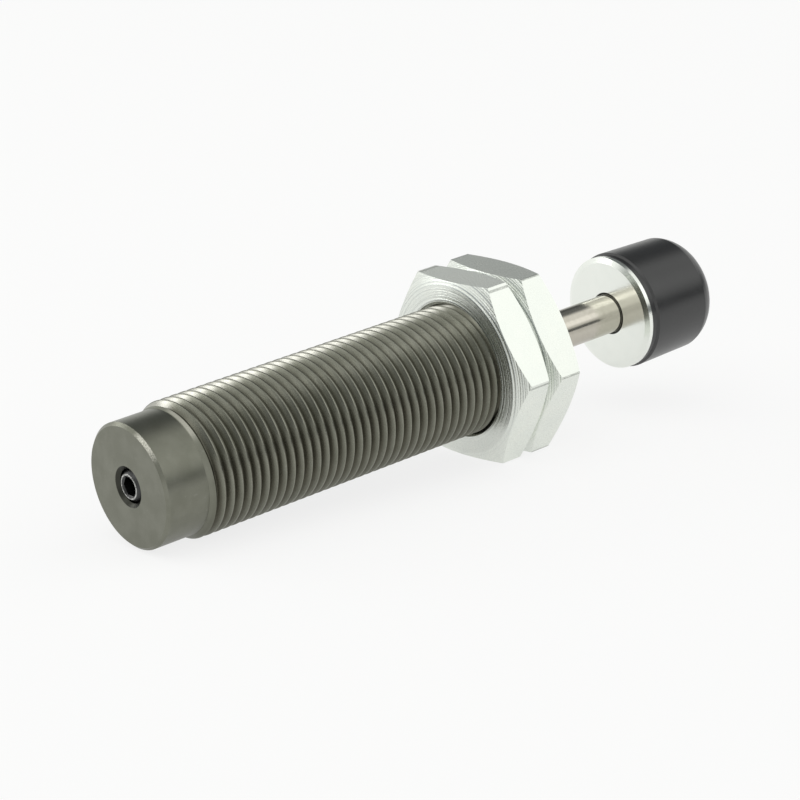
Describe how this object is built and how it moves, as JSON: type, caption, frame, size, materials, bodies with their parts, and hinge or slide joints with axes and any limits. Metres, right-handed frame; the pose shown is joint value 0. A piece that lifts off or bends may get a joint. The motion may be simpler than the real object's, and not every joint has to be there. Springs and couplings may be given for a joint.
{
  "type": "industrial shock absorber",
  "caption": "Threaded hydraulic shock absorber with two hexagon lock nuts, a sprung rod, a striker disc and a black bumper cap.",
  "frame": {"origin": "centre of the barrel's rear face", "axes": "+X along the barrel from the rear face to the bumper cap, +Z out of a flat of the rear lock nut"},
  "size_m": [0.1057, 0.0312, 0.0276],
  "materials": {
    "nitrided_steel": "satin dark nitrided, grey-green",
    "zinc_plate": "bright plated, turned faces",
    "polished_steel": "ground and polished",
    "bumper_black": "satin black urethane",
    "foam_black": "closed-cell foam",
    "seal_black": "moulded seal",
    "bronze": "machined",
    "plain_steel": "machined",
    "spring_steel": "drawn wire",
    "holder_alloy": "turned",
    "backup_white": "turned PTFE"
  },
  "bodies": {
    "barrel": {"barrel": "nitrided_steel", "fill_screw": "plain_steel", "seal_ball": "polished_steel", "pressure_tube": "plain_steel", "return_spring": "spring_steel", "bearing_housing": "plain_steel", "rod_bush": "bronze", "accumulator_foam": "foam_black", "rod_seal": "seal_black", "backup_ring": "backup_white", "seal_holder": "holder_alloy", "holder_oring": "seal_black", "wiper": "seal_black", "front_bush": "plain_steel", "retaining_ring": "spring_steel"},
    "rod": {"piston_rod": "polished_steel", "piston": "plain_steel", "piston_ring": "bronze", "check_plate": "plain_steel", "spring_seat": "plain_steel", "piston_nut": "plain_steel", "striker_disc": "zinc_plate", "bumper_cap": "bumper_black"},
    "nut_rear": {"lock_nut_rear": "zinc_plate"},
    "nut_front": {"lock_nut_front": "zinc_plate"}
  },
  "joints": [
    {"name": "rod_slide", "type": "slide", "parent": "barrel", "child": "rod", "axis": [-1, 0, 0], "range_m": [0, 0.015], "stiffness_N_per_m": 858, "springref_m": -0.0097, "deforming": ["return_spring"]},
    {"name": "nut_rear_travel", "type": "slide", "parent": "barrel", "child": "nut_rear", "axis": [-1, 0, 0], "range_m": [0, 0.05]},
    {"name": "nut_front_travel", "type": "slide", "parent": "barrel", "child": "nut_front", "axis": [1, 0, 0], "range_m": [0, 0.0015]}
  ]
}
